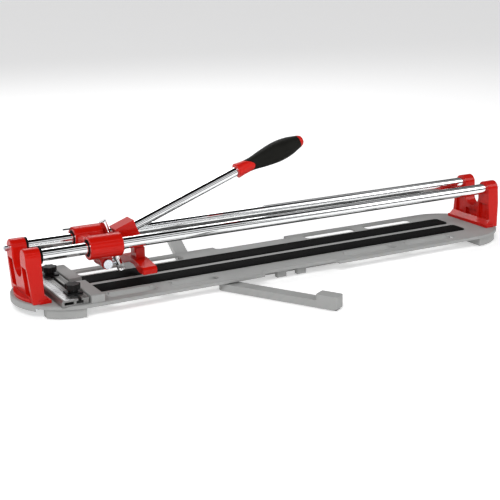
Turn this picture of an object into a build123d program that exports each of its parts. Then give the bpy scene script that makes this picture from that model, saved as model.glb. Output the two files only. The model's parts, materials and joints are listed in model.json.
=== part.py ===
"""Manual tile cutter: a long cast base, two guide rods in end brackets, and a scoring and snapping carriage.

Millimetres. The origin is on the floor under the middle of the base, +X runs along the rods away from the
fence, -Y is the side the user stands on, and +Z is up.
"""

import os
from math import cos, radians, sin, tan

from build123d import *

# Guide rods
rod_d = 22.0
rod_span = 1004.0  # between the inner faces of the two end brackets
rod_y = 38.0  # each rod's distance from the cutting line
rod_z = 106.0
rod_socket = 25.0  # how far a rod goes into its bracket
slide_gap = 0.05  # radial clearance of a bush or wiper on its rod
pin_gap = 0.05  # radial clearance of a turning pin in its hole

# Base casting
base_half_w = 107.0
base_beyond = 39.0  # how far the base reaches beyond the brackets' inner faces
base_top = 25.0
deck_t = 4.0
rim_t = 5.0
rim_drop = 6.5
end_skirt_drop = 12.0
end_skirt_out = 18.0  # the skirt starts this far beyond the inner faces
deck_half_w = 61.0
deck_wall = 5.0
deck_wall_z = 5.0
end_l = 106.0  # the base's end pieces start this far inside the inner faces
rib_count = 5
recess_half_l = 84.0
recess_y = 91.0
recess_r = 8.0
window_y = 88.0  # outer edge of the windows
window_r = 9.0
inner_windows = ((-266.5, -170.0), (116.5, 241.0))
outer_window_in = 111.0  # the outer windows' far ends, from the brackets' inner faces
outer_window_x = (-294.0, 268.5)  # their near ends
rim_round = 2.4

# Feet
foot_in = 61.0  # a foot's inner side, from the bracket's inner face
foot_l = 64.0
foot_y0 = 60.0
foot_inset = 3.0
foot_z = 2.0
pad_h = 5.0
pad_inset = 5.0
stop_block_x = (-40.0, 5.0)
stop_block_l = 20.0
stop_block_y = 68.0
stop_block_w = 10.0
centre_pad_l = 110.0
centre_pad_w = 70.0

# Rubber table mats
mat_y0 = 8.8
mat_w = 42.0
mat_t = 5.0
mat_proud = 2.0
mat_end_in = 55.5  # the mats stop this far short of the right-hand bracket
mat_gap = 0.25
mat_end_r = 9.0  # corner radius at the mats' right-hand ends

# Fence blocks
fence_in = 70.5  # the fence's back, from the left-hand bracket
fence_t = 25.0
fence_y0 = 9.0
fence_y1 = 104.0
fence_h = 14.0

# Rule rail
rail_in = 17.0  # the rail's scale edge, from the left-hand bracket
rail_w = 50.0
rail_h = 12.0
rail_half_l = 100.0
rail_floor = 3.0
slot_at = 33.5  # slot centre, from the rail's scale edge
slot_w = 6.5
slot_cavity_w = 13.0
slot_cavity_h = 5.0
hollow_x = (5.0, 22.0)
scale_x = (5.5, 23.5)
scale_t = 0.6
rail_screw_y = 40.0

# Lateral stops
stop_near_y = -66.0
stop_far_y = 57.0
stop_plate_l = 24.0
stop_plate_w = 29.0
stop_plate_t = 3.0
stop_bolt_d = 6.0
knob_hub_r = 9.0
knob_hub_h = 5.0
knob_r = 12.0
knob_lobe_r = 3.4
knob_lobes = 7
knob_h = 9.5

# End brackets
bracket_t = 28.0
bracket_wall = 5.0  # round a rod
bracket_foot_y = 62.0
bracket_gap_z = 62.0
flange_h = 6.0
flange_in = 11.0
flange_inset = 6.0
pocket_y0 = 25.0
pocket_y1 = 51.0
pocket_z0 = 36.0
pocket_z1 = 88.0
pocket_depth = 14.0
shallow_depth = 5.0
shallow_z0 = 40.0
shallow_z1 = 74.0
shallow_mid_y = 18.0
shallow_mid_z1 = 54.0
bracket_lean = 7.0  # how far the outer face draws in at its foot
bracket_screw_y = (16.0, 42.0)
bracket_screw_in = 9.5  # from the bracket's inner face
bracket_screw_up = 10.0  # above the base
bumper_t = 4.5
bumper_wall = 4.4

# Screws
m8_d = 8.0
m8_head_d = 13.0
m8_head_h = 8.0
m6_d = 6.0
m6_head_d = 10.0
m6_head_h = 6.0

# Carriage
slide_x0 = -410.5
slide_x1 = -347.5
slide_wall = 10.8  # round a rod
bush_wall = 3.45
bush_l = 22.0
wiper_wall = 4.95
wiper_t = 3.0
saddle_x1 = -383.5
saddle_z0 = 93.0
saddle_z1 = 117.0
lug_y = 14.0
lug_t = 8.0
lug_r = 10.5
stop_screw_d = 3.6
stop_screw_out = 14.0
pin_screw_d = 5.2
pin_screw_x1 = -349.0

# Lever
pivot_x = -367.0
pivot_z = 66.0
pivot_d = 10.0
pivot_head_d = 17.5
pivot_head_t = 4.0
hub_r = 10.0
lever_side_gap = 0.4
tube_d = 18.0
tube_wall = 2.0
tube_tilt = 20.2
tube_x = -303.3
tube_z = 123.3
tube_in = 36.0
tube_run = 232.0  # straight run from the head to the grip
head_side_gap = 1.2  # between the head and the slides
head_back = 40.0
head_up = 17.5
head_down = 17.0
grip_tilt = 17.5
grip_l = 155.0
collar_l = 34.0
cap_l = 10.0
core_r = 11.2
grip_places = (0.0, 0.09, 0.22, 0.405, 0.614, 0.784)  # along the grip, as parts of its length
grip_radii = (14.8, 13.2, 13.0, 17.4, 20.6, 18.6)  # at those places
cap_radii = (12.8, 10.4, 5.0)  # where the cap starts, part way along it, and at its tip

# Wheel holder and wheel
shaft_d = 13.0
shaft_lean = 18.5
shaft_x = -339.0  # on the shaft's axis, level with the lever pivot
shaft_low_z = 47.0  # wheel centre
shaft_top = 101.0  # from the wheel centre up along the shaft
fork_slot = 2.2
fork_w = 9.0
wheel_d = 10.0
wheel_t = 1.6
wheel_bore_d = 3.0
lock_r = 3.5

# Breaker foot
breaker_x0 = -311.5
breaker_x1 = -284.0
breaker_half_w = 57.0
breaker_z0 = 45.0
breaker_arch_z = 54.0  # underside at the middle
breaker_arch_y = 35.0
breaker_corner = 4.0
breaker_end_z = 58.0
breaker_mid_z = 64.0
post_half_w = 12.0
post_x0 = -306.0
post_x1 = -288.0
post_z = 84.0
tongue_half_w = 10.0
tongue_r = 7.0
foot_pin_x = -305.0
foot_pin_z = 97.0
foot_pin_d = 8.0
cheek_t = 6.0

# Support arms
arm_x = -158.0
arm_y = 88.0
arm_l = 238.0
arm_w = 26.0
arm_z0 = 1.5
arm_z1 = 15.5
arm_hub_r = 13.0
arm_boss_r = 11.5
arm_wall = 4.0
tip_l = 43.0
tip_pad_t = 3.0
tip_lift = 0.6  # free space under an arm's foot
near_angle = 30.2  # from straight out, towards +X
far_angle = 17.8
arm_bolt_d = 10.0
arm_washer_t = 0.5

# Worked out from the values above
rod_r = rod_d / 2
half_span = rod_span / 2
base_half_l = half_span + base_beyond
end_skirt_x = half_span + end_skirt_out
deck_half_l = half_span - end_l
outer_x = half_span - outer_window_in
windows = ((-outer_x, outer_window_x[0]), *inner_windows, (outer_window_x[1], outer_x))
foot_x0 = half_span - foot_in
foot_x1 = foot_x0 + foot_l
mat_x1 = half_span - mat_end_in
fence_x0 = fence_in - half_span
rail_x0 = rail_in - half_span
deck_under = base_top - deck_t
rim_z = base_top - rim_drop
arc_x = base_half_l - base_half_w
mat_top = base_top + mat_proud
mat_x0 = fence_x0 + fence_t + mat_gap
rail_top = base_top + rail_h
slot_x = rail_x0 + slot_at
bracket_x = half_span + bracket_t
bracket_r = rod_r + bracket_wall
bracket_side = rod_y + bracket_r
bracket_gap_r = rod_y - bracket_r
bumper_r = rod_r + bumper_wall
slide_r = rod_r + slide_wall
bush_r = rod_r + slide_gap + bush_wall
wiper_r = rod_r + slide_gap + wiper_wall
head_half_w = rod_y - slide_r - head_side_gap
lever_half_w = lug_y - lever_side_gap
tube_r = tube_d / 2
shaft_r = shaft_d / 2


def block(x0, x1, y0, y1, z0, z1):
    """A box between two corners."""
    return Pos((x0 + x1) / 2, (y0 + y1) / 2, (z0 + z1) / 2) * Box(x1 - x0, y1 - y0, z1 - z0)


def bar_x(radius, x0, x1, y, z):
    """A round bar along X."""
    return Pos((x0 + x1) / 2, y, z) * Rot(0, 90, 0) * Cylinder(radius, x1 - x0)


def bar_y(radius, y0, y1, x, z):
    """A round bar along Y."""
    return Pos(x, (y0 + y1) / 2, z) * Rot(90, 0, 0) * Cylinder(radius, y1 - y0)


def bar_z(radius, z0, z1, x, y):
    """A round bar along Z."""
    return Pos(x, y, (z0 + z1) / 2) * Cylinder(radius, z1 - z0)


def slab(sketch, z0, z1):
    """A sketch on the floor plane, as a plate between two heights."""
    return extrude(Pos(0, 0, z0) * sketch, z1 - z0)


def side_plate(points, y0, y1):
    """A polygon of (x, z) points, as a plate between two places in Y."""
    plane = Plane(origin=(0, y1, 0), x_dir=(1, 0, 0), z_dir=(0, -1, 0))
    return extrude(plane * make_face(Polyline(*points, close=True)), y1 - y0)


def end_plate(sketch, x0, x1):
    """A sketch in (y, z), as a plate between two places in X."""
    return extrude(Plane(origin=(x0, 0, 0), x_dir=(0, 1, 0), z_dir=(1, 0, 0)) * sketch, x1 - x0)


def ring_x(outer, inner, x0, x1, y, z):
    """A ring round an axis along X."""
    return bar_x(outer, x0, x1, y, z) - bar_x(inner, x0 - 1, x1 + 1, y, z)


def ring_y(outer, inner, y0, y1, x, z):
    """A ring round an axis along Y."""
    return bar_y(outer, y0, y1, x, z) - bar_y(inner, y0 - 1, y1 + 1, x, z)


def half_turn(part):
    """The same piece at the other end of the machine."""
    return Rot(0, 0, 180) * part


def mirrored(part):
    """The same piece on the other side of the cutting line."""
    return mirror(part, about=Plane.XZ)


def save(node, *pieces):
    """Writes one sub-part; pieces that don't touch stay separate solids."""
    solids = [solid for piece in pieces for solid in piece.solids()]
    shape = solids[0] if len(solids) == 1 else Compound(children=solids)
    export_step(shape, f"parts/{node}.step")


# Base


def outline(inset):
    """The base seen from above, drawn in by an inset, with the two long-edge recesses."""
    body = SlotOverall(2 * (base_half_l - inset), 2 * (base_half_w - inset))
    depth = 2 * (base_half_w - recess_y)
    for side in (-1, 1):
        middle = side * (recess_y - inset + depth / 2)
        length = 2 * (recess_half_l + inset)
        body -= Pos(0, middle) * RectangleRounded(length, depth, recess_r)
    return body


def base_piece(region):
    """One stretch of the casting: its top plate and the rim below the plate's edge."""
    plate = slab(outline(0) & region, deck_under, base_top)
    rim = slab((outline(0) - outline(rim_t)) & region, rim_z, deck_under)
    return plate + rim


def rounded_rim(piece):
    """Rounds the top edge that runs round the outside of the base."""
    border = (Pos(0, 0, base_top) * outline(0)).edges()

    def outside(edge):
        return min(line.distance_to(edge @ 0.5) for line in border) < 0.01

    top_edges = piece.edges().group_by(Axis.Z)[-1]
    return fillet([edge for edge in top_edges if outside(edge)], rim_round)


def mat_outline(grow):
    """The near mat seen from above, rounded at its right-hand end, and grown all round by a gap."""
    length = mat_x1 - mat_x0 + 2 * grow
    strip = Pos((mat_x0 + mat_x1) / 2, -mat_y0 - mat_w / 2) * Rectangle(length, mat_w + 2 * grow)
    return fillet(strip.vertices().group_by(Axis.X)[-1], mat_end_r + grow)


def mat_beds(piece):
    """Cuts the two shallow beds that the mats lie in."""
    bed = slab(mat_outline(mat_gap), mat_top - mat_t, base_top + 1)
    return piece - bed - mirrored(bed)


def base_deck():
    """The middle of the base: a channel with ribs, open below."""
    deck = block(-deck_half_l, deck_half_l, -deck_half_w, deck_half_w, deck_under, base_top)
    for side in (-1, 1):
        outer = side * deck_half_w
        inner = side * (deck_half_w - deck_wall)
        wall = block(-deck_half_l, deck_half_l, min(outer, inner), max(outer, inner), deck_wall_z, deck_under)
        deck += wall
    inside = deck_half_w - deck_wall
    pitch = 2 * deck_half_l / (rib_count - 1)
    for i in range(rib_count):
        x = -deck_half_l + i * pitch
        x0 = max(x - deck_wall / 2, -deck_half_l)
        x1 = min(x + deck_wall / 2, deck_half_l)
        deck += block(x0, x1, -inside, inside, deck_wall_z, deck_under)
    shoe = block(-centre_pad_l / 2, centre_pad_l / 2, -inside, inside, pad_h, pad_h + deck_wall)
    return mat_beds(deck + shoe)


def foot_lugs(inset):
    """The two corner feet of the right-hand end seen from above, following the outline of the base."""
    shrink = inset - foot_inset
    length = foot_x1 - foot_x0 - 2 * shrink
    width = 2 * (base_half_w - foot_y0 - shrink)
    both = Pos((foot_x0 + foot_x1) / 2, -base_half_w) * Rectangle(length, width)
    both += Pos((foot_x0 + foot_x1) / 2, base_half_w) * Rectangle(length, width)
    return outline(inset) & both


def base_end():
    """The right-hand end of the base: a half disc with its skirt, two corner feet and screw bosses."""
    reach = base_half_l + 20
    region = Pos((deck_half_l + reach) / 2, 0) * Rectangle(reach - deck_half_l, 3 * base_half_w)
    end = base_piece(region)
    skirt_area = Pos((end_skirt_x + reach) / 2, 0) * Rectangle(reach - end_skirt_x, 3 * base_half_w)
    skirt_ring = (outline(0) - outline(rim_t)) & skirt_area
    end += slab(skirt_ring, base_top - end_skirt_drop, rim_z)
    end += slab(foot_lugs(foot_inset), foot_z, deck_under)
    end -= slab(foot_lugs(foot_inset + pad_inset), foot_z, pad_h)
    for x, y in bracket_screw_places():
        end += bar_z(m8_head_d / 2 + 3, rim_z, deck_under, x, y)
        end -= bar_z(m8_d / 2 + 0.2, rim_z - 1, base_top + 1, x, y)
    return rounded_rim(end)


def bracket_screw_places():
    """Where the four bracket screws stand at the right-hand end."""
    x = half_span + bracket_screw_in
    return [(x, side * y) for side in (-1, 1) for y in bracket_screw_y]


def base_right():
    """The right-hand end with the ends of the mat beds."""
    return mat_beds(base_end())


def base_left():
    """The left-hand end, drilled from below for the fence and rail screws."""
    end = half_turn(base_end())
    for x, y in fence_screw_places() + rail_screw_places():
        end -= bar_z(m6_d / 2 + 0.2, deck_under - 1, base_top + 1, x, y)
    return mat_beds(end)


def base_side():
    """The near side of the base between its ends: a ladder of windows outside the deck."""
    reach = base_half_w + 20
    region = Pos(0, -(deck_half_w + reach) / 2) * Rectangle(2 * deck_half_l, reach - deck_half_w)
    side = base_piece(region)
    for x0, x1 in windows:
        hole = Pos((x0 + x1) / 2, -(deck_half_w + window_y) / 2)
        hole *= RectangleRounded(x1 - x0, window_y - deck_half_w, window_r)
        side -= slab(hole, rim_z - 1, base_top + 1)
    for x in stop_block_x:
        y1 = -stop_block_y
        side += block(x, x + stop_block_l, y1 - stop_block_w, y1, foot_z, deck_under)
    side += bar_z(arm_boss_r, arm_z1 + arm_washer_t, deck_under, arm_x, -arm_y)
    side -= bar_z(m8_d / 2, arm_z1, base_top - 2.5, arm_x, -arm_y)
    return rounded_rim(side)


def foot_pads():
    """Rubber pads let into the undersides of the corner feet."""
    pair = slab(foot_lugs(foot_inset + pad_inset), 0, pad_h)
    return [pair, half_turn(pair)]


def centre_pad():
    """The rubber pad under the middle of the deck."""
    return slab(RectangleRounded(centre_pad_l, centre_pad_w, 8), 0, pad_h)


def mat():
    """The near rubber mat, with its top edges eased."""
    strip = slab(mat_outline(0), mat_top - mat_t, mat_top)
    top_edges = strip.edges().group_by(Axis.Z)[-1]
    return fillet(top_edges, 0.8)


# Fence, rule and lateral stops


def fence_screw_places():
    """Where the two screws of each fence block stand."""
    x = fence_x0 + fence_t / 2
    return [(x, side * y) for side in (-1, 1) for y in (fence_y0 + 18, fence_y1 - 26)]


def fence_block():
    """The near fence block, square to the cutting line."""
    body = block(fence_x0, fence_x0 + fence_t, -fence_y1, -fence_y0, base_top, base_top + fence_h)
    body = chamfer(body.edges().group_by(Axis.Z)[-1], 1.2)
    for x, y in fence_screw_places():
        body -= bar_z(m6_d / 2, base_top - 1, base_top + fence_h - 4, x, y)
    return body


def rail_screw_places():
    """Where the rail's two screws stand."""
    return [(rail_x0 + sum(hollow_x) / 2, side * rail_screw_y) for side in (-1, 1)]


def rule_rail():
    """The extrusion across the base: a hollow scale lip and a T-slot for the lateral stops."""
    x1 = rail_x0 + rail_w
    z0 = base_top
    corners = [(rail_x0, z0), (x1, z0), (x1, rail_top), (rail_x0 + 3, rail_top), (rail_x0, rail_top - 3)]
    rail = side_plate(corners, -rail_half_l, rail_half_l)
    y0 = -rail_half_l - 1
    y1 = rail_half_l + 1
    cavity_z = z0 + rail_floor
    rail -= block(slot_x - slot_w / 2, slot_x + slot_w / 2, y0, y1, cavity_z, rail_top + 1)
    half = slot_cavity_w / 2
    rail -= block(slot_x - half, slot_x + half, y0, y1, cavity_z, cavity_z + slot_cavity_h)
    rail -= block(rail_x0 + hollow_x[0], rail_x0 + hollow_x[1], y0, y1, cavity_z, cavity_z + slot_cavity_h)
    rail -= block(rail_x0 + scale_x[0], rail_x0 + scale_x[1], y0, y1, rail_top - scale_t, rail_top + 1)
    for i in range(3):
        groove = x1 - 2.5 - 2.6 * i
        rail -= block(groove - 1.0, groove, y0, y1, rail_top - 0.7, rail_top + 1)
    for x, y in rail_screw_places():
        rail -= bar_z(m6_d / 2, z0 - 1, cavity_z, x, y)
    return rail


def rule_scale():
    """The steel scale strip let into the rail's lip."""
    x0 = rail_x0 + scale_x[0]
    x1 = rail_x0 + scale_x[1]
    return block(x0, x1, -rail_half_l, rail_half_l, rail_top - scale_t, rail_top)


def cap_screw_up(diameter, head_d, head_h, x, y, seat, tip):
    """A cap screw driven upwards, its head under the seat."""
    head = bar_z(head_d / 2, seat - head_h, seat, x, y)
    socket = Pos(x, y, seat - head_h) * extrude(RegularPolygon(diameter * 0.42, 6), head_h * 0.5)
    return head + bar_z(diameter / 2, seat, tip, x, y) - socket


def base_screw(x, y, tip):
    """A small cap screw driven up through the base."""
    return cap_screw_up(m6_d, m6_head_d, m6_head_h, x, y, deck_under, tip)


def stop_plate(y):
    """A lateral stop's clamp plate, with a key that runs in the slot."""
    half_l = stop_plate_l / 2
    half_w = stop_plate_w / 2
    x0 = slot_x - half_w
    plate = block(x0, x0 + stop_plate_w, y - half_l, y + half_l, rail_top, rail_top + stop_plate_t)
    key_half = slot_w / 2 - 0.3
    plate += block(slot_x - key_half, slot_x + key_half, y - half_l, y + half_l, rail_top - 2.5, rail_top)
    return plate - bar_z(stop_bolt_d / 2, rail_top - 5, rail_top + stop_plate_t + 1, slot_x, y)


def stop_bolt(y):
    """The T-bolt of a lateral stop, its head in the slot's cavity."""
    head_top = base_top + rail_floor + slot_cavity_h - 0.4
    half = slot_cavity_w / 2 - 0.6
    head = block(slot_x - half, slot_x + half, y - half, y + half, base_top + rail_floor + 0.4, head_top)
    tip = rail_top + stop_plate_t + knob_hub_h + knob_h - 4
    return head + bar_z(stop_bolt_d / 2, head_top, tip, slot_x, y)


def star_knob(y):
    """A star knob that screws down on its T-bolt."""
    z0 = rail_top + stop_plate_t + 0.3
    hub_top = z0 + knob_hub_h
    star = Circle(knob_r)
    for lobe in PolarLocations(knob_r - 1.2, knob_lobes):
        star += lobe * Circle(knob_lobe_r)
    head = extrude(Pos(slot_x, y, hub_top) * star, knob_h - 0.3)
    head = chamfer(head.edges().group_by(Axis.Z)[-1], 0.8)
    knob = head + bar_z(knob_hub_r, z0, hub_top, slot_x, y)
    bore = bar_z(stop_bolt_d / 2 + pin_gap, z0 - 1, hub_top + knob_h - 3.5, slot_x, y)
    return knob - bore


# End brackets and rods


def bracket_face():
    """An end bracket seen along the rods: two round-topped pylons that join low down."""
    corners = [
        (-bracket_foot_y, base_top),
        (bracket_foot_y, base_top),
        (bracket_side, rod_z),
        (-bracket_side, rod_z),
    ]
    face = make_face(Polyline(*corners, close=True))
    for y in (-rod_y, rod_y):
        face += Pos(y, rod_z) * Circle(bracket_r)
    arc_z = bracket_gap_z + bracket_gap_r
    face -= Pos(0, arc_z) * Circle(bracket_gap_r)
    return face - Pos(0, arc_z + bracket_r * 2) * Rectangle(2 * bracket_gap_r, 4 * bracket_r)


def bracket():
    """The right-hand end bracket."""
    body = end_plate(bracket_face(), half_span, bracket_x)
    ends = body.edges().filter_by(lambda e: abs(e.center().X - bracket_x) < 0.01)
    body = chamfer([e for e in ends if e.center().Z > base_top + 1], 2.0)
    low = base_top - 1
    high = rod_z - 12
    outside = bracket_x + 1
    lean = [(outside, low), (bracket_x - bracket_lean, low), (bracket_x, high), (outside, high)]
    body -= side_plate(lean, -base_half_w, base_half_w)
    x_mid = (half_span - flange_in + base_half_l) / 2
    area = Pos(x_mid, 0) * Rectangle(base_half_l - half_span + flange_in, 2 * (bracket_foot_y + 3))
    body += slab(outline(flange_inset) & area, base_top, base_top + flange_h)
    body += side_wedge()
    hollow = block(bracket_x - pocket_depth, bracket_x + 1, pocket_y0, pocket_y1, pocket_z0, pocket_z1)
    shallow = block(half_span - 1, half_span + shallow_depth, pocket_y0, pocket_y1, shallow_z0, shallow_z1)
    socket = bar_x(rod_r, half_span - 1, half_span + rod_socket, rod_y, rod_z)
    grub_hole = bar_z(m6_d / 2, pocket_z1 - 1, rod_z, grub_x(), rod_y)
    for cut in (hollow, shallow, socket, grub_hole):
        body -= cut
        body -= mirrored(cut)
    mid_x1 = half_span + shallow_depth
    body -= block(half_span - 1, mid_x1, -shallow_mid_y, shallow_mid_y, shallow_z0, shallow_mid_z1)
    body -= bar_x(m6_d / 2, half_span, bracket_x + 1, -rod_y, rod_z)
    for x, y in bracket_screw_places():
        body -= bar_z(m8_d / 2, base_top - 1, base_top + bracket_screw_up + 0.5, x, y)
    return body


def side_wedge():
    """The sloping foot that joins a bracket's inner face to its flange."""
    x0 = half_span - flange_in
    z1 = base_top + flange_h
    corners = [(x0 + 2, z1), (half_span, z1), (half_span, z1 + 9)]
    return side_plate(corners, -bracket_foot_y, bracket_foot_y)


def grub_x():
    """Where along X the rod's grub screw stands in the right-hand bracket."""
    return bracket_x - pocket_depth / 2


def rod(y):
    """One hard-chromed guide rod, tapped at its ends."""
    end = half_span + rod_socket
    return bar_x(rod_r, -end, end, y, rod_z) - end_tap(y)


def end_tap(y):
    """The tapped hole for the end bolt, at the right on the near rod and at the left on the far one."""
    end = half_span + rod_socket
    hole = bar_x(m6_d / 2, end - 14, end + 1, -rod_y, rod_z)
    return hole if y < 0 else half_turn(hole)


def end_bolt():
    """The bolt that draws the near rod into the right-hand bracket."""
    seat = bracket_x
    head = bar_x(m6_head_d / 2 + 0.5, seat, seat + m8_head_h + 1, -rod_y, rod_z)
    shank = bar_x(m6_d / 2, half_span + rod_socket - 14, seat, -rod_y, rod_z)
    x_head = seat + m8_head_h + 1
    plane = Plane(origin=(x_head, -rod_y, rod_z), x_dir=(0, 1, 0), z_dir=(-1, 0, 0))
    return head + shank - extrude(plane * RegularPolygon(3.0, 6), 4)


def grub_screw(side):
    """A grub screw that locks a rod from the roof of the bracket's pocket."""
    return bar_z(m6_d / 2, pocket_z1, rod_z - rod_r, grub_x(), side * rod_y)


def bumper(side):
    """A rubber ring on a rod against the left-hand bracket."""
    return ring_x(bumper_r, rod_r, -half_span, -half_span + bumper_t, side * rod_y, rod_z)


# Carriage


def carriage_body():
    """The casting that joins the two slides, with the lugs that carry the lever."""
    body = block(slide_x0 + 2, saddle_x1, -rod_y, rod_y, saddle_z0, saddle_z1)
    body = chamfer(body.edges().filter_by(Axis.Y), 4)
    for side in (-1, 1):
        y = side * rod_y
        tube = bar_x(slide_r, slide_x0, slide_x1, y, rod_z)
        tube = chamfer(tube.edges().filter_by(GeomType.CIRCLE), 1.2)
        body += tube
    low = saddle_z0 + 4
    reach = lug_r * 0.9
    lug_points = [
        (slide_x0 + 16, low),
        (slide_x0 + 24, rod_z - slide_r + 2),
        (pivot_x - reach, pivot_z - 3),
        (pivot_x + reach, pivot_z - 3),
        (pivot_x + reach, rod_z - slide_r + 4),
        (slide_x1 - 6, low),
    ]
    for side in (-1, 1):
        y0 = min(side * lug_y, side * (lug_y + lug_t))
        lug = side_plate(lug_points, y0, y0 + lug_t)
        lug += bar_y(lug_r, y0, y0 + lug_t, pivot_x, pivot_z)
        body += lug
    for side in (-1, 1):
        y = side * rod_y
        body -= bar_x(rod_r + 1.5, slide_x0 - 1, slide_x1 + 1, y, rod_z)
        for x0, x1 in bush_places():
            body -= bar_x(bush_r, x0, x1, y, rod_z)
        body -= bar_x(wiper_r, slide_x0 - 1, slide_x0 + wiper_t, y, rod_z)
        body -= bar_x(wiper_r, slide_x1 - wiper_t, slide_x1 + 1, y, rod_z)
    body -= bar_y(pivot_d / 2, -rod_y, rod_y, pivot_x, pivot_z)
    y, z = stop_screw_place()
    body -= bar_x(stop_screw_d / 2, slide_x0 - 1, slide_x0 + 10, y, z)
    return body - pin_screw()


def bush_places():
    """The two stretches of a slide that its bushes fill."""
    left = slide_x0 + wiper_t
    right = slide_x1 - wiper_t
    return [(left, left + bush_l), (right - bush_l, right)]


def bushes():
    """The four plain bushes that run on the rods."""
    return [
        ring_x(bush_r, rod_r + slide_gap, x0, x1, side * rod_y, rod_z)
        for side in (-1, 1)
        for x0, x1 in bush_places()
    ]


def wipers():
    """The four felt wipers at the ends of the slides."""
    places = [(slide_x0, slide_x0 + wiper_t), (slide_x1 - wiper_t, slide_x1)]
    inner = rod_r + slide_gap
    return [ring_x(wiper_r, inner, x0, x1, side * rod_y, rod_z) for side in (-1, 1) for x0, x1 in places]


def stop_screw_place():
    """Where the small adjusting screw stands in the far slide's end face (y, z)."""
    radius = (wiper_r + slide_r) / 2
    angle = radians(62)
    return rod_y + radius * cos(angle), rod_z + radius * sin(angle)


def stop_screw():
    """The small blackened screw in the far slide's end face."""
    y, z = stop_screw_place()
    shank = bar_x(stop_screw_d / 2 - 0.4, slide_x0 - stop_screw_out, slide_x0, y, z)
    return shank + bar_x(stop_screw_d / 2, slide_x0, slide_x0 + 10, y, z)


def pivot_pin():
    """The lever's pivot pin, with its flat zinc-plated head on the near side."""
    outer = lug_y + lug_t
    pin = bar_y(pivot_d / 2, -outer, outer + 3, pivot_x, pivot_z)
    pin += bar_y(pivot_head_d / 2, -outer - pivot_head_t, -outer, pivot_x, pivot_z)
    groove = ring_y(pivot_d / 2 + 1, pivot_d / 2 - 0.8, outer + 0.4, outer + 1.6, pivot_x, pivot_z)
    return pin - groove


def pin_screw():
    """The small screw in the near lug that keeps the pivot pin from turning."""
    return bar_x(pin_screw_d / 2, pivot_x + pivot_d / 2 + 0.2, pin_screw_x1, -lug_y - lug_t / 2, pivot_z)


def pivot_clip():
    """The spring clip that keeps the pivot pin in."""
    outer = lug_y + lug_t
    return ring_y(pivot_d / 2 + 2.2, pivot_d / 2 - 0.8, outer + 0.4, outer + 1.6, pivot_x, pivot_z)


# Lever, wheel and breaker foot


def along_tube(distance):
    """A point on the tube's axis, from where the tube leaves the head."""
    tilt = radians(tube_tilt)
    return tube_x + distance * cos(tilt), tube_z + distance * sin(tilt)


def shaft_at(distance):
    """A point on the wheel shaft's axis, from the wheel centre upwards."""
    lean = radians(shaft_lean)
    x0 = shaft_x + (pivot_z - shaft_low_z) * tan(lean)
    return x0 - distance * sin(lean), shaft_low_z + distance * cos(lean)


def on_shaft(shape, distance):
    """Stands an upright shape on the wheel shaft's axis."""
    x, z = shaft_at(distance)
    return Pos(x, 0, z) * Rot(0, -shaft_lean, 0) * shape


def lever_head():
    """The red head: a neck between the slides, a block for the tube, and cheeks for the breaker foot."""
    tilt = radians(tube_tilt)
    up_x = -sin(tilt)
    up_z = cos(tilt)
    block_x0, block_z0 = along_tube(-head_back)
    face_x, face_z = along_tube(0)
    cheek_top = foot_pin_z + tongue_r + 6
    wide = [
        (block_x0 + up_x * head_up, block_z0 + up_z * head_up),
        (block_x0 + 5, cheek_top),
        (face_x - up_x * head_down, cheek_top),
        (face_x + up_x * head_up, face_z + up_z * head_up),
    ]
    head = side_plate(wide, -head_half_w, head_half_w)
    neck_x, neck_z = shaft_at(68)
    neck = [
        (pivot_x - hub_r * 0.9, pivot_z + 4),
        (neck_x - shaft_r - 3.5, neck_z),
        (block_x0 + 4, block_z0 + 4),
        (face_x, cheek_top + 2),
        (foot_pin_x + tongue_r + 1.5, cheek_top - 4),
        (foot_pin_x - tongue_r - 6, foot_pin_z - tongue_r),
        (shaft_x + 8, pivot_z + 19),
        (pivot_x + hub_r, pivot_z + 14),
        (pivot_x + hub_r * 0.9, pivot_z - 3),
    ]
    head += side_plate(neck, -lever_half_w, lever_half_w)
    head += bar_y(hub_r, -lever_half_w, lever_half_w, pivot_x, pivot_z)
    cheek_y = tongue_half_w + lever_side_gap + cheek_t
    cheek_r = tongue_r + 1.5
    cheek = bar_y(cheek_r, -cheek_y, cheek_y, foot_pin_x, foot_pin_z)
    cheek_x0 = foot_pin_x - cheek_r
    cheek_x1 = foot_pin_x + cheek_r
    cheek += block(cheek_x0, cheek_x1, -cheek_y, cheek_y, foot_pin_z, cheek_top + 2)
    head += cheek
    gap_half = tongue_half_w + lever_side_gap
    reach = tongue_r + 2.2
    head -= block(foot_pin_x - reach, foot_pin_x + 60, -gap_half, gap_half, breaker_z0, foot_pin_z)
    head -= bar_y(reach, -gap_half, gap_half, foot_pin_x, foot_pin_z)
    head -= block(foot_pin_x, foot_pin_x + 60, -gap_half, gap_half, foot_pin_z - 1, foot_pin_z + reach)
    head -= tube_solid(tube_r)
    bore_l = shaft_top + 40
    head -= on_shaft(Cylinder(shaft_r + pin_gap, bore_l), shaft_top / 2 + 8)
    head -= bar_y(pivot_d / 2 + pin_gap, -rod_y, rod_y, pivot_x, pivot_z)
    head -= bar_y(foot_pin_d / 2, -rod_y, rod_y, foot_pin_x, foot_pin_z)
    return head - lock_screw_hole()


def tube_path():
    """The tube's axis: straight out of the head, with a slight bend under the grip's collar."""
    tilt = radians(grip_tilt)
    x0, z0 = along_tube(-tube_in)
    x1, z1 = along_tube(tube_run + 8)
    run = grip_l - cap_l - 14
    x2 = x1 + run * cos(tilt)
    z2 = z1 + run * sin(tilt)
    return FilletPolyline((x0, 0, z0), (x1, 0, z1), (x2, 0, z2), radius=120)


def tube_solid(radius):
    """A round bar that follows the tube's axis."""
    path = tube_path()
    return sweep(Plane(origin=path @ 0, z_dir=path % 0) * Circle(radius), path=path)


def lever_tube():
    """The chromed lever tube."""
    return tube_solid(tube_r) - tube_solid(tube_r - tube_wall)


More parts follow.
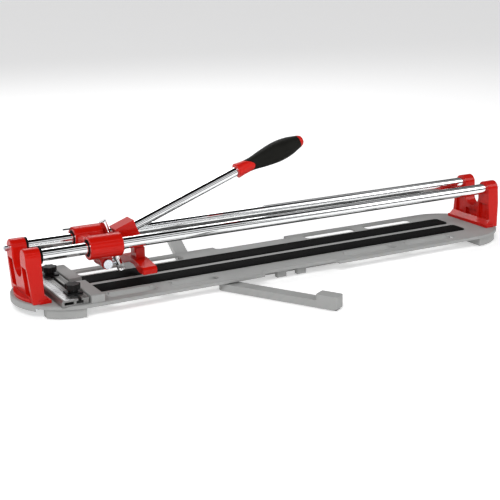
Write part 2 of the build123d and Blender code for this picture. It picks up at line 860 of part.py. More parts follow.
def grip_frame():
    """Where the grip's axis starts and how it points."""
    x, z = along_tube(tube_run + 8)
    tilt = radians(grip_tilt)
    return Pos(x - 8 * cos(tilt), 0, z - 8 * sin(tilt)) * Rot(0, -grip_tilt, 0)


def grip_body(x0, x1, bore):
    """The stretch of the grip's outer form between two places, hollowed to a bore."""
    cap_start = grip_l - cap_l
    body = [(grip_l * place, radius) for place, radius in zip(grip_places, grip_radii)]
    cap = list(zip((cap_start, cap_start + cap_l * 0.6, grip_l), cap_radii))
    curve = Spline(*body, cap[0])
    tail = Spline(*cap, tangents=[curve % 1, (0.15, -1)])
    tip = Line(cap[-1], (grip_l, 0))
    axis = Line((grip_l, 0), (0, 0))
    start = Line((0, 0), body[0])
    form = revolve(Plane.XZ * make_face(curve + tail + tip + axis + start), Axis.X)
    middle = (x0 + x1) / 2
    form &= Pos(middle, 0, 0) * Box(x1 - x0, 80, 80)
    if bore > 0:
        form -= Pos(middle, 0, 0) * Rot(0, 90, 0) * Cylinder(bore, x1 - x0 + 2)
    return grip_frame() * form


def grip_core():
    """The red plastic core: the collar in front and a sleeve for the rubber behind it."""
    collar = grip_body(0, collar_l, 0)
    length = grip_l - cap_l - collar_l
    core = Pos(collar_l + length / 2, 0, 0) * Rot(0, 90, 0) * Cylinder(core_r, length)
    return collar + grip_frame() * core - tube_solid(tube_r)


def grip_sleeve():
    """The soft black sleeve."""
    return grip_body(collar_l, grip_l - cap_l, core_r)


def grip_cap():
    """The red end cap."""
    return grip_body(grip_l - cap_l, grip_l, 0)


def lock_screw_hole():
    """The hole in the hub for the lock screw."""
    x0 = pivot_x + pivot_d / 2 + 1.5
    return bar_x(lock_r, x0, pivot_x + hub_r + 2, 0, pivot_z)


def lock_screw():
    """The short threaded stud that bears on the wheel shaft."""
    x0 = pivot_x + pivot_d / 2 + 1.5
    lean = radians(shaft_lean)
    tip = shaft_x - shaft_r / cos(lean) - lock_r * tan(lean) - 0.3
    return bar_x(lock_r, x0, tip, 0, pivot_z)


def foot_pin():
    """The pin that the breaker foot hangs on."""
    outer = tongue_half_w + lever_side_gap + cheek_t
    return bar_y(foot_pin_d / 2, -outer - 0.5, outer + 0.5, foot_pin_x, foot_pin_z)


def wheel_shaft():
    """The chromed wheel holder, forked at its lower end."""
    length = shaft_top
    shaft = Pos(0, 0, length / 2) * Cylinder(shaft_r, length)
    shaft = chamfer(shaft.edges().filter_by(GeomType.CIRCLE).group_by(Axis.Z)[-1], 1.2)
    shaft += Cylinder(shaft_r - 1, 6)
    for side in (-1, 1):
        shaft -= Pos(0, side * (fork_w / 2 + 5), 2) * Box(30, 10, 16)
    shaft -= Box(30, fork_slot, 14)
    shaft -= Rot(90, 0, 0) * Cylinder(wheel_bore_d / 2, 20)
    return on_shaft(shaft, 0)


def wheel_pin():
    """The axle of the cutting wheel."""
    x, z = shaft_at(0)
    return bar_y(wheel_bore_d / 2, -fork_w / 2, fork_w / 2, x, z)


def wheel():
    """The carbide cutting wheel, ground to a blunt edge."""
    x, z = shaft_at(0)
    disc = bar_y(wheel_d / 2, -wheel_t / 2, wheel_t / 2, x, z)
    disc = chamfer(disc.edges().filter_by(GeomType.CIRCLE), wheel_t * 0.42)
    return disc - bar_y(wheel_bore_d / 2 + pin_gap, -2, 2, x, z)


def breaker_foot():
    """The wide foot that snaps the tile, hanging by its tongue."""
    right = [
        (breaker_arch_y, breaker_z0),
        (breaker_half_w, breaker_z0),
        (breaker_half_w, breaker_end_z - breaker_corner),
        (breaker_half_w - breaker_corner, breaker_end_z),
        (post_half_w, breaker_mid_z),
    ]
    left = [(-y, z) for y, z in reversed(right)]
    arch = [(-post_half_w, breaker_arch_z), (post_half_w, breaker_arch_z)]
    wing = make_face(Polyline(*arch, *right, *left, close=True))
    foot = end_plate(wing, breaker_x0, breaker_x1)
    foot += block(post_x0, post_x1, -post_half_w, post_half_w, breaker_mid_z - 6, post_z)
    tongue = [
        (post_x0, post_z - 10),
        (post_x1, post_z - 10),
        (post_x1, post_z),
        (foot_pin_x + tongue_r, foot_pin_z),
        (foot_pin_x - tongue_r, foot_pin_z),
    ]
    foot += side_plate(tongue, -tongue_half_w, tongue_half_w)
    foot += bar_y(tongue_r, -tongue_half_w, tongue_half_w, foot_pin_x, foot_pin_z)
    return foot - bar_y(foot_pin_d / 2 + pin_gap, -rod_y, rod_y, foot_pin_x, foot_pin_z)


# Support arms


def arm_frame(near):
    """Where an arm pivots and how it points; its own +X runs from the pivot to the tip."""
    if near:
        return Pos(arm_x, -arm_y, 0) * Rot(0, 0, near_angle - 90)
    return Pos(arm_x, arm_y, 0) * Rot(0, 0, 90 - far_angle)


def arm(near):
    """A support arm: a channel bar with a raised tip level with the mats."""
    height = arm_z1 - arm_z0
    bar = block(0, arm_l - 4, -arm_w / 2, arm_w / 2, arm_z0, arm_z1)
    bar += bar_z(arm_hub_r, arm_z0, arm_z1, 0, 0)
    inner = arm_w / 2 - arm_wall
    bar -= block(arm_hub_r + 4, arm_l - tip_l, -inner, inner, arm_z0 - 1, arm_z0 + height - arm_wall)
    outline_tip = Pos(arm_l - tip_l / 2, 0) * RectangleRounded(tip_l, arm_w, 4)
    tip = slab(outline_tip, tip_lift + tip_pad_t, mat_top)
    bar += chamfer(tip.edges().group_by(Axis.Z)[-1], 1.0)
    bar -= bar_z(arm_bolt_d / 2 + pin_gap, 0, arm_z1 + 1, 0, 0)
    bar -= bar_z(m8_head_d / 2 + 2, 0, arm_z0 + 5, 0, 0)
    bar -= slab(arm_pad_shape(), 0, tip_lift + tip_pad_t)
    return arm_frame(near) * bar


def arm_pad(near):
    """The rubber foot under an arm's tip."""
    return arm_frame(near) * slab(arm_pad_shape(), tip_lift, tip_lift + tip_pad_t)


def arm_pad_shape():
    """An arm's rubber foot seen from above, in the arm's own frame."""
    return Pos(arm_l - tip_l / 2, 0) * RectangleRounded(tip_l - 6, arm_w - 6, 3)


def arm_bolt(side):
    """The shoulder bolt that an arm turns on."""
    y = side * arm_y
    head_top = arm_z0 + 5 - 0.3
    head = bar_z(m8_head_d / 2 + 1.5, head_top - 4, head_top, arm_x, y)
    shoulder = bar_z(arm_bolt_d / 2, head_top, arm_z1 + arm_washer_t, arm_x, y)
    return head + shoulder + bar_z(m8_d / 2, arm_z1 + arm_washer_t, base_top - 2.5, arm_x, y)


def arm_washer(side):
    """The thin washer between an arm and its boss, round the bolt's shoulder."""
    y = side * arm_y
    disc = bar_z(arm_boss_r - 0.5, arm_z1 + 0.05, arm_z1 + arm_washer_t, arm_x, y)
    return disc - bar_z(arm_bolt_d / 2, 0, base_top, arm_x, y)


os.makedirs("parts", exist_ok=True)

save("base_deck", base_deck())
save("base_end_left", base_left())
save("base_end_right", base_right())
save("base_side_near", base_side())
save("base_side_far", mirrored(base_side()))
save("foot_pads", *foot_pads())
save("centre_pad", centre_pad())
save("mat_near", mat())
save("mat_far", mirrored(mat()))

save("fence_near", fence_block())
save("fence_far", mirrored(fence_block()))
fence_screw_tip = base_top + fence_h - 5
save("fence_screws", *[base_screw(x, y, fence_screw_tip) for x, y in fence_screw_places()])
save("rule_rail", rule_rail())
save("rule_scale", rule_scale())
save("rule_screws", *[base_screw(x, y, base_top + rail_floor) for x, y in rail_screw_places()])
for place, stop_y in (("near", stop_near_y), ("far", stop_far_y)):
    save(f"stop_plate_{place}", stop_plate(stop_y))
    save(f"stop_bolt_{place}", stop_bolt(stop_y))
    save(f"knob_{place}", star_knob(stop_y))

save("bracket_right", bracket())
save("bracket_left", half_turn(bracket()))
right_screws = [
    cap_screw_up(m8_d, m8_head_d, m8_head_h, x, y, rim_z, base_top + bracket_screw_up)
    for x, y in bracket_screw_places()
]
save("bracket_screws_right", *right_screws)
save("bracket_screws_left", *[half_turn(screw) for screw in right_screws])
save("rod_near", rod(-rod_y))
save("rod_far", rod(rod_y))
save("rod_end_bolts", end_bolt(), half_turn(end_bolt()))
grubs = [grub_screw(side) for side in (-1, 1)]
save("rod_grub_screws", *grubs, *[half_turn(screw) for screw in grubs])
save("bumpers_left", *[bumper(side) for side in (-1, 1)])

save("carriage_body", carriage_body())
save("slide_bushes", *bushes())
save("slide_wipers", *wipers())
save("slide_screw", stop_screw())
save("lever_pin", pivot_pin())
save("lever_pin_clip", pivot_clip())
save("pin_screw", pin_screw())

save("lever_head", lever_head())
save("lever_tube", lever_tube())
save("grip_core", grip_core())
save("grip_sleeve", grip_sleeve())
save("grip_cap", grip_cap())
save("lock_screw", lock_screw())
save("foot_pin", foot_pin())
save("wheel_shaft", wheel_shaft())
save("wheel_pin", wheel_pin())
save("wheel", wheel())
save("breaker_foot", breaker_foot())

for place, side in (("near", -1), ("far", 1)):
    save(f"arm_{place}", arm(place == "near"))
    save(f"arm_pad_{place}", arm_pad(place == "near"))
    save(f"arm_bolt_{place}", arm_bolt(side))
    save(f"arm_washer_{place}", arm_washer(side))
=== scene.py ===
# %% [markdown]
# # A manual tile cutter
# The machine is a long cast base with two rubber table mats, two polished guide rods held in red end
# brackets, and a red carriage that slides on the rods. A long lever on the carriage presses a small wheel on
# the tile, and then a wide foot that snaps it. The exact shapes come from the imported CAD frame. This lesson
# gives every piece its finish, and models in mesh code what a CAD solid says too plainly.

import json
from math import cos, pi, radians, sin, sqrt

import bmesh
import bpy
from mathutils import Matrix, Vector


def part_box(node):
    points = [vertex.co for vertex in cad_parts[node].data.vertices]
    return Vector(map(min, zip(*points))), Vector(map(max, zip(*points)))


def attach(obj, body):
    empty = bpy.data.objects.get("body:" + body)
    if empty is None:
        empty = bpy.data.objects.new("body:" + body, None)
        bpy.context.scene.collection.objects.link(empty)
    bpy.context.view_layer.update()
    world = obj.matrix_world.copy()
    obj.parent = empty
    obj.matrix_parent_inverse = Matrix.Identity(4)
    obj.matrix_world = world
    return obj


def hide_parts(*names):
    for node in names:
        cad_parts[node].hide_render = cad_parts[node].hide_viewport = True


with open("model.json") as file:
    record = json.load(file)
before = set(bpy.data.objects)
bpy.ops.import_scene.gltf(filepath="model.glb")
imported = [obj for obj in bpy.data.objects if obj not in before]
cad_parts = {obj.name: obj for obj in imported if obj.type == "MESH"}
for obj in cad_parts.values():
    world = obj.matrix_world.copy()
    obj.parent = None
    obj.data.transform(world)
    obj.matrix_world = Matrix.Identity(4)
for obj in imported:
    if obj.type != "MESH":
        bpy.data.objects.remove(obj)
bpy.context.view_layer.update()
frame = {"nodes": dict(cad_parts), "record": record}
nodes = frame["nodes"]
print("pieces in the frame:", len(nodes))

# %% [markdown]
# ## Light, floor and camera
# Polished rods only look polished when they have something to mirror. A plain white world would turn them
# into white sticks, so the world is a pale dome with three dark bands: one at the horizon, one half-way up
# and one overhead. A rod draws each band out into a thin dark line. The dome is dimmer towards +X, where the
# rods turn grey. Three soft lights give the red paint its long highlights. The light path node lets the
# camera see a white backdrop where the pieces see the dome.

# %% World and view
scene = bpy.context.scene
scene.view_settings.view_transform = "Standard"
world = bpy.data.worlds.new("studio")
scene.world = world
world.use_nodes = True
wt = world.node_tree
wt.nodes.clear()
place = wt.nodes.new("ShaderNodeTexCoord")
height = wt.nodes.new("ShaderNodeSeparateXYZ")
ramp = wt.nodes.new("ShaderNodeValToRGB")
walls = wt.nodes.new("ShaderNodeBackground")
backdrop = wt.nodes.new("ShaderNodeBackground")
path = wt.nodes.new("ShaderNodeLightPath")
pick = wt.nodes.new("ShaderNodeMixShader")
sky = wt.nodes.new("ShaderNodeOutputWorld")
dark = 0.01
low_stops = [(0.0, dark), (0.15, dark), (0.18, 0.80), (0.28, 0.85), (0.50, 1.0)]
high_stops = [(0.53, dark), (0.69, dark), (0.71, 1.0), (0.81, 1.0), (0.83, dark), (1.0, dark)]
stops = low_stops + high_stops  # height of the direction, brightness
while len(ramp.color_ramp.elements) < len(stops):
    ramp.color_ramp.elements.new(0.5)
for element, (where, grey) in zip(ramp.color_ramp.elements, stops):
    element.position = where
    element.color = (grey, grey, grey * 1.01, 1)
wt.links.new(place.outputs["Generated"], height.inputs[0])
wt.links.new(height.outputs["Z"], ramp.inputs[0])
wt.links.new(ramp.outputs[0], walls.inputs["Color"])
dim = wt.nodes.new("ShaderNodeMapRange")
dim.inputs["From Min"].default_value = 0.40
dim.inputs["From Max"].default_value = 0.62
dim.inputs["To Min"].default_value = 1.0
dim.inputs["To Max"].default_value = 0.25
wt.links.new(height.outputs["X"], dim.inputs["Value"])
wt.links.new(dim.outputs[0], walls.inputs["Strength"])
backdrop.inputs["Color"].default_value = (1.0, 1.0, 1.0, 1)
wt.links.new(path.outputs["Is Camera Ray"], pick.inputs[0])
wt.links.new(walls.outputs[0], pick.inputs[1])
wt.links.new(backdrop.outputs[0], pick.inputs[2])
wt.links.new(pick.outputs[0], sky.inputs[0])
print("view transform:", scene.view_settings.view_transform)


# %% Soft lights
def soft_light(name, where, target, size, power):
    """A square area light that faces a target."""
    light = bpy.data.lights.new(name, "AREA")
    light.shape = "RECTANGLE"
    light.size, light.size_y = size
    light.energy = power
    holder = bpy.data.objects.new(name, light)
    scene.collection.objects.link(holder)
    holder.location = where
    aim = Vector(target) - Vector(where)
    holder.rotation_mode = "QUATERNION"
    holder.rotation_quaternion = aim.to_track_quat("-Z", "Y")
    return holder


key = soft_light("key", (-1.6, -1.9, 2.3), (0, 0, 0.05), (1.6, 1.0), 46)
fill = soft_light("fill", (1.9, -1.5, 1.6), (0.1, 0, 0.05), (1.2, 1.2), 16)
rim = soft_light("rim", (0.3, 2.2, 2.0), (0, 0, 0.05), (2.4, 0.6), 26)
print("lights:", key.name, fill.name, rim.name)

# %% Camera
azimuth, elevation, roll = radians(-28.97), radians(16.04), radians(-0.57)
back = Vector((sin(azimuth) * cos(elevation), -cos(azimuth) * cos(elevation), sin(elevation)))
side = Vector((0, 0, 1)).cross(back).normalized()
above = back.cross(side)
camera = bpy.data.objects.new("camera", bpy.data.cameras.new("camera"))
scene.collection.objects.link(camera)
camera.data.sensor_width = 36.0
camera.data.lens = 80.12
camera.data.clip_end = 100.0
right = cos(roll) * side + sin(roll) * above
up = cos(roll) * above - sin(roll) * side
spot = Vector((-0.0572, 0, 0.0412)) + 2.2015 * back
camera.matrix_world = Matrix.Translation(spot) @ Matrix((right, up, back)).transposed().to_4x4()
scene.camera = camera
print("camera at", [round(v, 3) for v in camera.location])

# %% [markdown]
# ## Shader maths as plain expressions
# Node trees are easier to read as formulas. `Socket` wraps one output, and adding, subtracting or
# multiplying two of them makes the Math nodes. `Finish` is one material, and `Finish.node` makes any other
# node in it.


# %% A socket with operators
class Socket:
    """One output socket of a material, with the usual operators."""

    def __init__(self, tree, socket):
        self.tree = tree
        self.socket = socket

    def math(self, operation, *others):
        values = {i + 1: other for i, other in enumerate(others)}
        return self.tree.node("ShaderNodeMath", {"operation": operation}, {0: self, **values})

    def __add__(self, other):
        return self.math("ADD", other)

    __radd__ = __add__

    def __rsub__(self, other):
        return self.tree.node("ShaderNodeMath", {"operation": "SUBTRACT"}, {0: other, 1: self})

    def __mul__(self, other):
        return self.math("MULTIPLY", other)

    __rmul__ = __mul__

    def between(self, low, high):
        """0 below low, 1 above high, smooth between."""
        settings = {"interpolation_type": "SMOOTHSTEP"}
        values = {"Value": self, "From Min": low, "From Max": high}
        return self.tree.node("ShaderNodeMapRange", settings, values)


MIX_FACTOR, MIX_A, MIX_B, MIX_COLOUR = 0, 6, 7, 2  # sockets of a Mix node set to colour


class Finish:
    """A material under construction: one Principled shader and the nodes that feed it."""

    def __init__(self, name, **constants):
        self.material = bpy.data.materials.new(name)
        self.material.use_nodes = True
        self.nodes = self.material.node_tree.nodes
        self.links = self.material.node_tree.links
        self.shader = self.nodes["Principled BSDF"]
        for socket, value in constants.items():
            self.shader.inputs[socket.replace("_", " ")].default_value = value

    def node(self, kind, settings=None, values=None, output=0):
        made = self.nodes.new(kind)
        for key, value in (settings or {}).items():
            setattr(made, key, value)
        for key, value in (values or {}).items():
            if isinstance(value, Socket):
                self.links.new(value.socket, made.inputs[key])
            else:
                made.inputs[key].default_value = value
        return Socket(self, made.outputs[output])

    def place(self):
        """Where a point is on the machine, in metres."""
        return self.node("ShaderNodeTexCoord", output="Object")

    def stretched(self, scale):
        """The place, scaled differently along each axis."""
        return self.node("ShaderNodeVectorMath", {"operation": "MULTIPLY"}, {0: self.place(), 1: scale})

    def noise(self, scale, detail=3.0, along=None):
        """Smooth noise from 0 to 1; along scales the three axes."""
        where = self.stretched(along) if along else self.place()
        return self.node("ShaderNodeTexNoise", None, {"Vector": where, "Scale": scale, "Detail": detail})

    def cells(self, scale):
        """The distance to the nearest of many scattered points."""
        return self.node("ShaderNodeTexVoronoi", None, {"Vector": self.place(), "Scale": scale})

    def edges(self, radius):
        """0 on flat ground, rising to 1 on sharp edges."""
        soft = self.node("ShaderNodeBevel", {"samples": 4}, {"Radius": radius})
        true = self.node("ShaderNodeNewGeometry", output="Normal")
        both = {0: soft, 1: true}
        match = self.node("ShaderNodeVectorMath", {"operation": "DOT_PRODUCT"}, both, output="Value")
        return (1 - match).between(0.02, 0.25)

    def mix(self, mask, under, colour):
        """A colour laid over another, or over a socket, where the mask is 1."""
        made = self.nodes.new("ShaderNodeMix")
        made.data_type = "RGBA"
        self.links.new(mask.socket, made.inputs[MIX_FACTOR])
        if isinstance(under, Socket):
            self.links.new(under.socket, made.inputs[MIX_A])
        else:
            made.inputs[MIX_A].default_value = (*under, 1)
        made.inputs[MIX_B].default_value = (*colour, 1)
        return Socket(self, made.outputs[MIX_COLOUR])

    def colour(self, socket):
        self.links.new(socket.socket, self.shader.inputs["Base Color"])

    def roughness(self, socket):
        self.links.new(socket.socket, self.shader.inputs["Roughness"])

    def relief(self, height, distance, strength=1.0, edge=0.0):
        """Fine relief; edge also softens sharp edges for the light."""
        values = {"Height": height, "Distance": distance, "Strength": strength}
        if edge:
            values["Normal"] = self.node("ShaderNodeBevel", {"samples": 4}, {"Radius": edge})
        self.links.new(self.node("ShaderNodeBump", None, values).socket, self.shader.inputs["Normal"])


finishes = {}
print("ready to mix finishes")

# %% [markdown]
# ## Painted and cast finishes
# The base, the fence blocks and the support arms are cast light metal with a thin grey coat. It is satin,
# and as it was cast in sand and then sprayed, it has two sizes of unevenness: slow waves and a fine grain.
# The brackets, the carriage, the lever's head and the foot are sprayed bright red and glossy, with the faint
# ripple that painters call orange peel. The grip's collar and end cap are red plastic, duller and stippled.

# %% Grey coat
grey = Finish("grey_coat", Metallic=0.0, Specular_IOR_Level=0.20)
grain = grey.noise(1500, 4)
waves = grey.noise(22, 3)
shade = grey.mix(waves, (0.315, 0.318, 0.313), (0.370, 0.373, 0.367))
# painted highlight: the grey is mixed lighter along sharp edges, where light catches them
shade = grey.mix(grey.edges(0.0010) * 0.35, shade, (0.58, 0.575, 0.565))
grey.colour(shade)
grey.roughness(0.40 + grain * 0.14 + waves * 0.05)
grey.relief(grain + waves * 0.6, 0.00012, 0.7, edge=0.0009)
finishes["base_grey"] = grey.material

# %% Red paint and red plastic
red = Finish("red_paint", Metallic=0.0, Specular_IOR_Level=0.10, Coat_Weight=0.22, Coat_Roughness=0.07)
peel = red.noise(420, 2)
depth = red.noise(14, 2)
tone = red.mix(depth, (0.50, 0.005, 0.002), (0.60, 0.008, 0.003))
# painted highlight: the red is mixed brighter along sharp edges, where light catches them
tone = red.mix(red.edges(0.0012) * 0.25, tone, (0.80, 0.05, 0.03))
red.colour(tone)
red.roughness(0.24 + peel * 0.10)
red.relief(peel, 0.00016, 0.6, edge=0.0012)
finishes["red"] = red.material

moulded_red = Finish("moulded_red", Metallic=0.0, Specular_IOR_Level=0.22)
stipple = moulded_red.noise(2600, 2)
slow = moulded_red.noise(40, 2)
moulded_red.colour(moulded_red.mix(slow, (0.56, 0.008, 0.005), (0.66, 0.014, 0.008)))
moulded_red.roughness(0.30 + stipple * 0.12)
moulded_red.relief(stipple, 0.00006, 0.5, edge=0.0008)
finishes["red_plastic"] = moulded_red.material
print("paint:", sorted(finishes))

# %% [markdown]
# ## Rubber and black plastic
# The mats are dense black rubber with a fine pebble, so a tile grips them. The grip's sleeve is softer and a
# little lighter, with an eroded surface from its mould. Both are matt, and dust shows on the mats as slow,
# pale patches. The star knobs and the print on the scale are a harder black with a little more shine.

# %% Mat rubber, grip rubber and black plastic
mat_rubber = Finish("mat_rubber", Metallic=0.0, Specular_IOR_Level=0.05)
pebble = mat_rubber.cells(900)
dust = mat_rubber.noise(30, 5)
mat_rubber.colour(mat_rubber.mix(dust, (0.003, 0.003, 0.003), (0.007, 0.007, 0.007)))
mat_rubber.roughness(0.62 + dust * 0.18)
mat_rubber.relief(pebble, 0.0002, 0.5, edge=0.0006)
finishes["mat_rubber"] = mat_rubber.material

soft = Finish("grip_rubber", Metallic=0.0, Specular_IOR_Level=0.10)
pits = soft.cells(1500)
handled = soft.noise(45, 4)
soft.colour(soft.mix(handled, (0.006, 0.006, 0.005), (0.012, 0.012, 0.010)))
soft.roughness(0.50 + handled * 0.14)
soft.relief(pits, 0.00025, 0.55)
finishes["grip_rubber"] = soft.material

black = Finish("black_plastic", Metallic=0.0, Specular_IOR_Level=0.18)
spark = black.noise(3000, 2)
black.colour(black.mix(black.noise(60, 3), (0.005, 0.005, 0.005), (0.010, 0.010, 0.010)))
black.roughness(0.38 + spark * 0.16)
black.relief(spark, 0.00005, 0.5, edge=0.0007)
finishes["black_plastic"] = black.material
print("rubber:", sorted(finishes))

# %% [markdown]
# ## Bright metals
# The rods, the lever tube and the wheel shaft are ground and hard-chromed, nearly perfect mirrors. Fine
# streaks along X, the way the rods run, stir their tone and roughness a little, and there is no relief. The
# rule rail is drawn aluminium with streaks along its length, and the screws are zinc-plated, with a faint
# blue bloom in patches.


# %% Metals
def metal(name, dark, bright, rough, spread, scale, along=None, bump=0.0, detail=4):
    """A bare or plated metal whose tone and roughness follow one pattern."""
    made = Finish(name, Metallic=1.0)
    pattern = made.noise(scale, detail, along)
    patches = made.noise(35, 3)
    made.colour(made.mix((pattern + patches) * 0.5, dark, bright))
    made.roughness(rough + pattern * spread)
    if bump:
        made.relief(pattern, bump, 0.5, edge=0.0004)
    return made.material


streaks_along_x = (0.05, 60, 60)
finishes["chrome"] = metal(
    "hard_chrome", (0.80, 0.81, 0.82), (0.93, 0.94, 0.94), 0.012, 0.035, 60, streaks_along_x
)
drawn_along_y = (1, 0.01, 1)
finishes["rail_alloy"] = metal(
    "drawn_alloy", (0.20, 0.20, 0.20), (0.32, 0.32, 0.31), 0.42, 0.20, 900, drawn_along_y, 0.00004
)
brushed_along_y = (1, 0.02, 1)
finishes["steel"] = metal(
    "brushed_steel", (0.55, 0.55, 0.56), (0.76, 0.76, 0.76), 0.26, 0.18, 1400, brushed_along_y, 0.00003
)
even_metals = {
    "zinc": ("zinc_plate", (0.62, 0.68, 0.74), (0.86, 0.89, 0.92), 0.20, 0.16, 260, None, 0.00004),
    "black_steel": (
        "blackened_steel", (0.02, 0.02, 0.021), (0.05, 0.05, 0.052), 0.34, 0.18, 500, None, 0.00005
    ),
    "bronze": ("sintered_bronze", (0.42, 0.27, 0.12), (0.60, 0.42, 0.22), 0.35, 0.2, 2200, None, 0.00006),
    "carbide": ("ground_carbide", (0.22, 0.22, 0.24), (0.42, 0.42, 0.44), 0.22, 0.16, 1500, None, 0.00003),
}
for slot_name, recipe in even_metals.items():
    finishes[slot_name] = metal(*recipe)
print("metals:", sorted(finishes))

# %% Give every CAD piece its finish
slots = {part["node"]: part["material_slot"] for part in frame["record"]["subparts"]}
for name, piece in nodes.items():
    piece.data.materials.clear()
    piece.data.materials.append(finishes[slots[name]])
    for face in piece.data.polygons:
        face.material_index = 0
for name in ("rod_near", "rod_far", "lever_tube", "wheel_shaft"):
    ground = nodes[name].data  # shaded smooth all over, so that reflections run straight along it
    ground.normals_split_custom_set([(0.0, 0.0, 0.0)] * len(ground.loops))
    for face in ground.polygons:
        face.use_smooth = True
print("finished pieces:", len(slots))

# %% [markdown]
# ## Meshes from rings
# Each soft piece is a skin drawn through a row of rings. A ring is a closed loop of points, and all the rings
# of one skin have the same number of them. The first and last rings are closed with one face each.


# %% Skin and smooth curve
def skin(name, rings, finish, body, node):
    """A smooth closed mesh through rings of points, standing for one CAD node."""
    count = len(rings[0])
    faces = [tuple(range(count)), tuple(range((len(rings) - 1) * count, len(rings) * count))]
    for i in range(len(rings) - 1):
        for j in range(count):
            k = (j + 1) % count
            faces.append((i * count + j, i * count + k, (i + 1) * count + k, (i + 1) * count + j))
    made = bpy.data.meshes.new(name)
    made.from_pydata([point for ring in rings for point in ring], [], faces)
    shell = bmesh.new()
    shell.from_mesh(made)
    bmesh.ops.recalc_face_normals(shell, faces=shell.faces)
    shell.to_mesh(made)
    shell.free()
    for face in made.polygons:
        face.use_smooth = len(face.vertices) == 4
    made.materials.append(finishes[finish])
    piece = bpy.data.objects.new(name, made)
    scene.collection.objects.link(piece)
    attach(piece, body)
    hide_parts(node)
    return piece


def smooth(points, x):
    """The height at x of a smooth curve through points."""
    last = len(points) - 1
    i = max(k for k in range(last) if points[k][0] <= x or k == 0)
    x0, y0 = points[i]
    x1, y1 = points[i + 1]
    slopes = []
    for k in (i, i + 1):
        before = points[max(k - 1, 0)]
        after = points[min(k + 1, last)]
        slopes.append((after[1] - before[1]) / (after[0] - before[0]) * (x1 - x0))
    t = (x - x0) / (x1 - x0)
    start = (2 * t**3 - 3 * t**2 + 1) * y0 + (t**3 - 2 * t**2 + t) * slopes[0]
    return start + (3 * t**2 - 2 * t**3) * y1 + (t**3 - t**2) * slopes[1]


print("ready to draw skins")

# %% [markdown]
# ## The grip
# The grip is a red collar with a soft black sleeve moulded over it. The sleeve's edge isn't a plain ring: it
# reaches far forward on top, less so below, and leaves a rounded red tongue on each side. Both pieces follow
# the same outer line, and a fine groove parts them.

# %% Grip axis and outline
grip_tilt = radians(17.5)
grip_l, cap_l = 0.155, 0.010
tube_r = 0.0091
along = Vector((cos(grip_tilt), 0, sin(grip_tilt)))
out = Vector((-sin(grip_tilt), 0, cos(grip_tilt)))
across = Vector((0, 1, 0))
core_points = [vertex.co for vertex in nodes["grip_core"].data.vertices]
front = min(point.dot(along) for point in core_points)
front_out = [point.dot(out) for point in core_points if point.dot(along) < front + 0.00001]
grip_start = along * front + out * (min(front_out) + max(front_out)) / 2
places = (0.0, 0.09, 0.22, 0.405, 0.614, 0.784)
radii = (0.0148, 0.0132, 0.0130, 0.0174, 0.0206, 0.0186)
sleeve_end = grip_l - cap_l
grip_line = [(grip_l * place, radius) for place, radius in zip(places, radii)] + [(sleeve_end, 0.0128)]
grip_turns = 96


def sleeve_edge(angle):
    """How far along the grip the sleeve's front edge is, at an angle from the top."""
    shortest = 0.022 if cos(angle) > 0 else 0.026
    return shortest + (0.037 - shortest) * abs(sin(angle)) ** 1.7


def grip_ring(where, sink):
    """A ring on the grip; where and sink give the place along it and the depth under its outer line."""
    ring = []
    for i in range(grip_turns):
        angle = 2 * pi * i / grip_turns
        spot = where(angle)
        radius = smooth(grip_line, spot) - 0.00012 - sink
        ring.append(grip_start + along * spot + out * radius * cos(angle) + across * radius * sin(angle))
    return ring


print("grip starts at", [round(v, 4) for v in grip_start])

# %% Collar and sleeve
lip = [(0.0, 0.0016), (0.0001, 0.0007), (0.0004, 0.0002), (0.0010, 0.0)]  # along, sink
collar_r = radii[0]
collar_rings = [
    grip_ring(lambda angle: 0.0004, collar_r - tube_r),
    grip_ring(lambda angle: 0.0, collar_r - 0.0008 - tube_r),
]
collar_rings += [grip_ring(lambda angle, d=d: d, sink) for d, sink in lip]
for i in range(1, 24):
    collar_rings.append(grip_ring(lambda angle, t=i / 24: 0.001 + (sleeve_edge(angle) - 0.002) * t, 0.0))
collar_rings += [grip_ring(lambda angle, d=d: sleeve_edge(angle) - d, sink) for d, sink in reversed(lip)]
collar = skin("grip_collar", collar_rings, "red_plastic", "lever", "grip_core")
print("collar faces:", len(collar.data.polygons))

sleeve_rings = [grip_ring(lambda angle, d=d: sleeve_edge(angle) + d, sink) for d, sink in lip]
for i in range(1, 72):
    t = i / 72
    sleeve_rings.append(
        grip_ring(lambda angle, t=t: (1 - t) * (sleeve_edge(angle) + 0.001) + t * (sleeve_end - 0.001), 0.0)
    )
sleeve_rings += [grip_ring(lambda angle, d=d: sleeve_end - d, sink) for d, sink in reversed(lip)]
sleeve = skin("soft_sleeve", sleeve_rings, "grip_rubber", "lever", "grip_sleeve")
print("sleeve faces:", len(sleeve.data.polygons))

# %% [markdown]
# ## The table mats
# Each mat is a long strip of dense rubber. Its top is moulded with fine ribs along its length, its edges are
# eased, and its right-hand end is rounded. A slice across the mat is drawn again and again along X, and the
# slices grow narrower where the end turns in.

# %% Mats
edge_r = 0.0009
rib_pitch = 0.0021
rib_h = 0.00026
end_r = 0.009
clear = 0.00002  # how far the ribs' tops stay under the CAD mat's top


def mat_slice(low, high, x, inset, drop):
    """One slice across a mat: a flat underside and a ribbed top that falls away at its edges."""
    y0, y1 = low.y + inset, high.y - inset
    samples = 120
    ring = [Vector((x, y1, low.z)), Vector((x, y0, low.z))]
    for i in range(samples + 1):
        y = y0 + (y1 - y0) * (0.5 - 0.5 * cos(pi * i / samples))
        from_edge = max(0.0, min(y - y0, y1 - y))
        fall = 0.0
        if from_edge < edge_r:
            fall = edge_r - sqrt(edge_r**2 - (edge_r - from_edge) ** 2)
        rib = rib_h / 2 * (1 + cos(2 * pi * (y - low.y) / rib_pitch)) * min(1, from_edge / 0.002)
        ring.append(Vector((x, y, high.z - clear - max(fall + rib, drop))))
    return ring


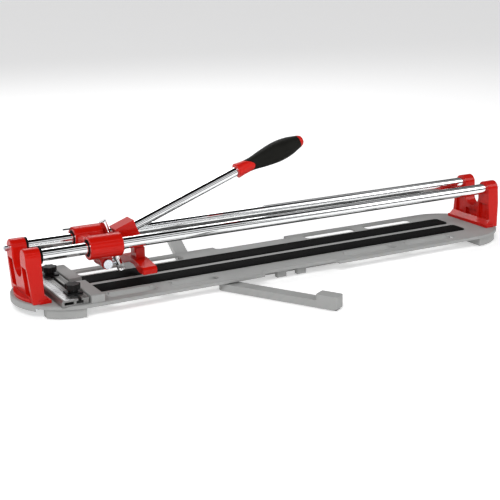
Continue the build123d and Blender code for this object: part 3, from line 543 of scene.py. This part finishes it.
def mat_skin(node):
    """A mat in place of its CAD node."""
    low, high = (Vector(corner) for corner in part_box(node))
    rings = []
    for step in (0.0, 0.15, 0.4, 0.7, 1.0):
        fall = edge_r * (1 - sqrt(1 - (1 - step) ** 2))
        rings.append(mat_slice(low, high, low.x + edge_r * step, 0.0, fall))
    run = high.x - end_r - low.x - edge_r
    for i in range(1, 40):
        rings.append(mat_slice(low, high, low.x + edge_r + run * i / 40, 0.0, 0.0))
    for i in range(25):
        turn = pi / 2 * i / 24
        x = high.x - end_r + end_r * sin(turn)
        drop = max(0.0, edge_r - (high.x - x)) * 0.8
        rings.append(mat_slice(low, high, x, end_r * (1 - cos(turn)), drop))
    return skin(node + "_rubber", rings, "mat_rubber", "base", node)


mats = [mat_skin("mat_near"), mat_skin("mat_far")]
print("mat faces:", len(mats[0].data.polygons))

# %% [markdown]
# ## The printed scale
# The steel strip on the rail carries a millimetre scale, counted outwards from the cutting line. The marks
# are a print, so they stand only a few hundredths of a millimetre proud, and the numbers are ordinary type.

# %% Scale marks and numbers
strip_low, strip_high = (Vector(corner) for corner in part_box("rule_scale"))
print_t = 0.00004


def mark_box(points, faces, x0, x1, y, half):
    """Adds one printed line to a list of points and faces."""
    base = len(points)
    for z in (strip_high.z - print_t, strip_high.z + print_t):
        points += [(x0, y - half, z), (x1, y - half, z), (x1, y + half, z), (x0, y + half, z)]
    sides = ((3, 2, 1, 0), (4, 5, 6, 7), (0, 1, 5, 4), (1, 2, 6, 5), (2, 3, 7, 6), (3, 0, 4, 7))
    faces += [tuple(base + corner for corner in side) for side in sides]


mark_points, mark_faces = [], []
for i in range(-95, 96):
    reach = 0.0075 if i % 10 == 0 else 0.0055 if i % 5 == 0 else 0.0036
    right_x = strip_high.x - 0.0006
    mark_box(mark_points, mark_faces, right_x - reach, right_x, i * 0.001, 0.00016)
marks = bpy.data.meshes.new("scale_marks")
marks.from_pydata(mark_points, [], mark_faces)
marks.materials.append(finishes["black_plastic"])
scale_marks = bpy.data.objects.new("scale_marks", marks)
scene.collection.objects.link(scale_marks)
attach(scale_marks, "base")
for i in range(-9, 10):
    text = bpy.data.curves.new("number", "FONT")
    text.body = str(abs(i))
    text.size = 0.0062
    text.extrude = print_t
    text.align_x = "CENTER"
    text.align_y = "CENTER"
    holder = bpy.data.objects.new("number", text)
    shape = bpy.data.meshes.new_from_object(holder)
    bpy.data.objects.remove(holder)
    shape.transform(Matrix.Rotation(-pi / 2, 4, "Z"))
    shape.materials.clear()
    shape.materials.append(finishes["black_plastic"])
    side_name = "near" if i < 0 else "far"
    number = bpy.data.objects.new(f"number_{side_name}_{abs(i)}", shape)
    shape.transform(Matrix.Translation((strip_low.x + 0.0058, i * 0.01, strip_high.z)))
    scene.collection.objects.link(number)
    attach(number, "base")
print("marks:", len(mark_faces) // 6)

# %% [markdown]
# ## The floor
# A plain, pale sheet that reaches past the frame. A very slight unevenness keeps it from looking painted in.

# %% Floor
mesh = bpy.data.meshes.new("floor")
mesh.from_pydata([(-14, -14, 0), (14, -14, 0), (14, 14, 0), (-14, 14, 0)], [], [(0, 1, 2, 3)])
floor = bpy.data.objects.new("floor", mesh)
scene.collection.objects.link(floor)
floor.location.z = -0.0003
sheet = Finish("floor", Specular_IOR_Level=0.1, Emission_Color=(1, 1, 1, 1), Emission_Strength=0.42)
sheet.colour(sheet.mix(sheet.noise(3, 2), (0.86, 0.86, 0.86), (0.88, 0.88, 0.88)))
sheet.roughness(0.8 + sheet.noise(9, 2) * 0.1)
mesh.materials.append(sheet.material)
print("floor down")
